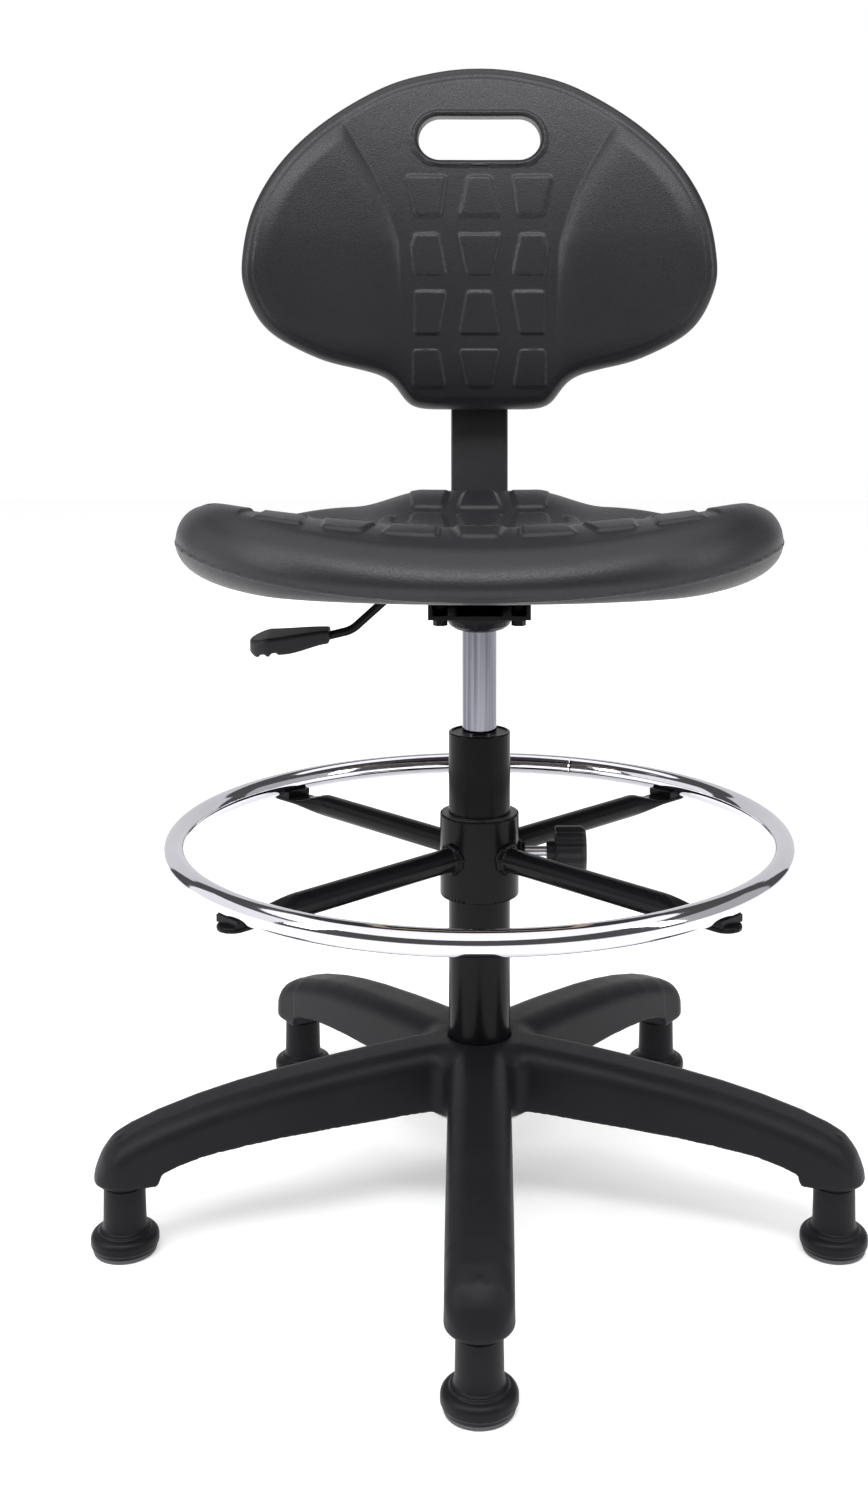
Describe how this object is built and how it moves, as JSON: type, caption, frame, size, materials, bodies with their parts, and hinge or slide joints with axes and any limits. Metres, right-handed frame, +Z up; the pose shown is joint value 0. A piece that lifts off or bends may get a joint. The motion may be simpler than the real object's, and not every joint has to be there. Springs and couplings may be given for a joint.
{
  "type": "drafting chair",
  "caption": "Drafting chair with a moulded seat and handled backrest on a gas lift, a chromed foot ring on spokes, and a star base on glides.",
  "frame": {"origin": "on the floor under the column's axis, at the level of the glides' soles", "axes": "+Z up, the chair faces -Y, +X is the right of someone looking at its front"},
  "size_m": [0.5979, 0.587, 0.949],
  "materials": {
    "base_nylon": "satin moulded black nylon",
    "glide_plastic": "satin moulded black",
    "pad_plastic": "matt",
    "grip_plastic": "fine matt texture",
    "bush_plastic": "plain",
    "moulded_skin": "self-skinned polyurethane with a fine leather grain",
    "black_paint": "semi-gloss powder coat",
    "hoop_chrome": "polished",
    "rod_steel": "ground",
    "bright_steel": "ground",
    "zinc_steel": "zinc plated",
    "bump_rubber": "matt",
    "brass_pad": "plain",
    "plywood": "raw"
  },
  "bodies": {
    "base": {"star_base": "base_nylon", "hub_ring": "zinc_steel", "glide_front": "glide_plastic", "glide_right": "glide_plastic", "glide_rear_right": "glide_plastic", "glide_rear_left": "glide_plastic", "glide_left": "glide_plastic", "glide_stems": "zinc_steel", "glide_pads": "pad_plastic", "column_tube": "black_paint", "column_bush": "bush_plastic", "bearing_race_lower": "bright_steel"},
    "spindle": {"piston_rod": "bright_steel", "piston": "zinc_steel", "bearing_race_upper": "bright_steel", "bearing_cage": "bush_plastic", "bearing_balls": "bright_steel", "bump_stop": "bump_rubber", "rod_clip": "zinc_steel"},
    "lift": {"gas_cylinder": "rod_steel", "cylinder_seal": "zinc_steel", "mechanism_box": "black_paint", "mechanism_socket": "black_paint", "mechanism_bolts": "black_paint", "seat_plate": "black_paint", "lever_bush": "bush_plastic", "bar_guide": "black_paint", "seat_foam": "moulded_skin", "seat_insert": "plywood", "seat_bolts": "zinc_steel", "seat_tee_nuts": "zinc_steel"},
    "lever": {"lever_rod": "black_paint", "lever_paddle": "grip_plastic"},
    "release_pin": {"release_pin": "zinc_steel"},
    "depth_pad": {"depth_pad": "brass_pad"},
    "depth_knob": {"depth_screw": "zinc_steel", "depth_knob": "grip_plastic"},
    "back_bar": {"back_bar": "black_paint", "bar_end_cap": "grip_plastic"},
    "backrest": {"back_foam": "moulded_skin", "back_insert": "plywood", "back_bracket": "black_paint", "bracket_screws": "zinc_steel"},
    "height_pad": {"height_pad": "brass_pad"},
    "height_knob": {"height_screw": "zinc_steel", "height_knob": "grip_plastic"},
    "ring_bush": {"ring_bush": "bush_plastic"},
    "foot_ring": {"ring_collar": "black_paint", "spoke_front_right": "black_paint", "spoke_rear_right": "black_paint", "spoke_rear_left": "black_paint", "spoke_front_left": "black_paint", "ring_hoop": "hoop_chrome", "ring_saddles": "black_paint", "ring_screws": "zinc_steel"},
    "ring_pad": {"ring_pad": "brass_pad"},
    "ring_knob": {"ring_stud": "zinc_steel", "ring_knob": "grip_plastic"}
  },
  "joints": [
    {"name": "seat_swivel", "type": "hinge", "parent": "base", "child": "spindle", "pos_m": [0, 0, 0.3], "axis": [0, 0, 1], "continuous": true},
    {"name": "lift_slide", "type": "slide", "parent": "spindle", "child": "lift", "axis": [0, 0, 1], "range_m": [0, 0.254]},
    {"name": "lever_lift", "type": "hinge", "parent": "lift", "child": "lever", "pos_m": [-0.0385, 0, 0.5088], "axis": [0, 1, 0], "range_deg": [0, 5], "stiffness_Nm_per_rad": 4, "springref_deg": -5.73},
    {"name": "valve_press", "type": "slide", "parent": "lift", "child": "release_pin", "axis": [0, 0, -1], "range_m": [0, 0.0035]},
    {"name": "back_depth", "type": "slide", "parent": "lift", "child": "back_bar", "axis": [0, 1, 0], "range_m": [-0.015, 0.03]},
    {"name": "back_height", "type": "slide", "parent": "back_bar", "child": "backrest", "axis": [0, 0, 1], "range_m": [0, 0.076]},
    {"name": "depth_grip", "type": "slide", "parent": "lift", "child": "depth_pad", "axis": [0, 0, -1], "range_m": [0, 0.0025]},
    {"name": "depth_knob_turn", "type": "hinge", "parent": "depth_pad", "child": "depth_knob", "pos_m": [0, 0.088, 0.47], "axis": [0, 0, -1], "range_deg": [0, 720]},
    {"name": "height_grip", "type": "slide", "parent": "backrest", "child": "height_pad", "axis": [0, 1, 0], "range_m": [0, 0.0025]},
    {"name": "height_knob_turn", "type": "hinge", "parent": "height_pad", "child": "height_knob", "pos_m": [0, 0.26, 0.7], "axis": [0, 1, 0], "range_deg": [0, 720]},
    {"name": "ring_height", "type": "slide", "parent": "base", "child": "ring_bush", "axis": [0, 0, 1], "range_m": [-0.11, 0.06]},
    {"name": "ring_turn", "type": "hinge", "parent": "ring_bush", "child": "foot_ring", "pos_m": [0, 0, 0.285], "axis": [0, 0, 1], "continuous": true},
    {"name": "ring_grip", "type": "slide", "parent": "foot_ring", "child": "ring_pad", "axis": [1, 0, 0], "range_m": [0, 0.0025]},
    {"name": "ring_knob_turn", "type": "hinge", "parent": "ring_pad", "child": "ring_knob", "pos_m": [0.07, 0, 0.2845], "axis": [1, 0, 0], "range_deg": [0, 720]}
  ],
  "couplings": [
    {"joint": "valve_press", "follows": "lever_lift", "m_per_rad": 0.0385},
    {"joint": "depth_grip", "follows": "depth_knob_turn", "m_per_rad": 0.00019894},
    {"joint": "height_grip", "follows": "height_knob_turn", "m_per_rad": 0.00019894},
    {"joint": "ring_grip", "follows": "ring_knob_turn", "m_per_rad": 0.00019894}
  ]
}
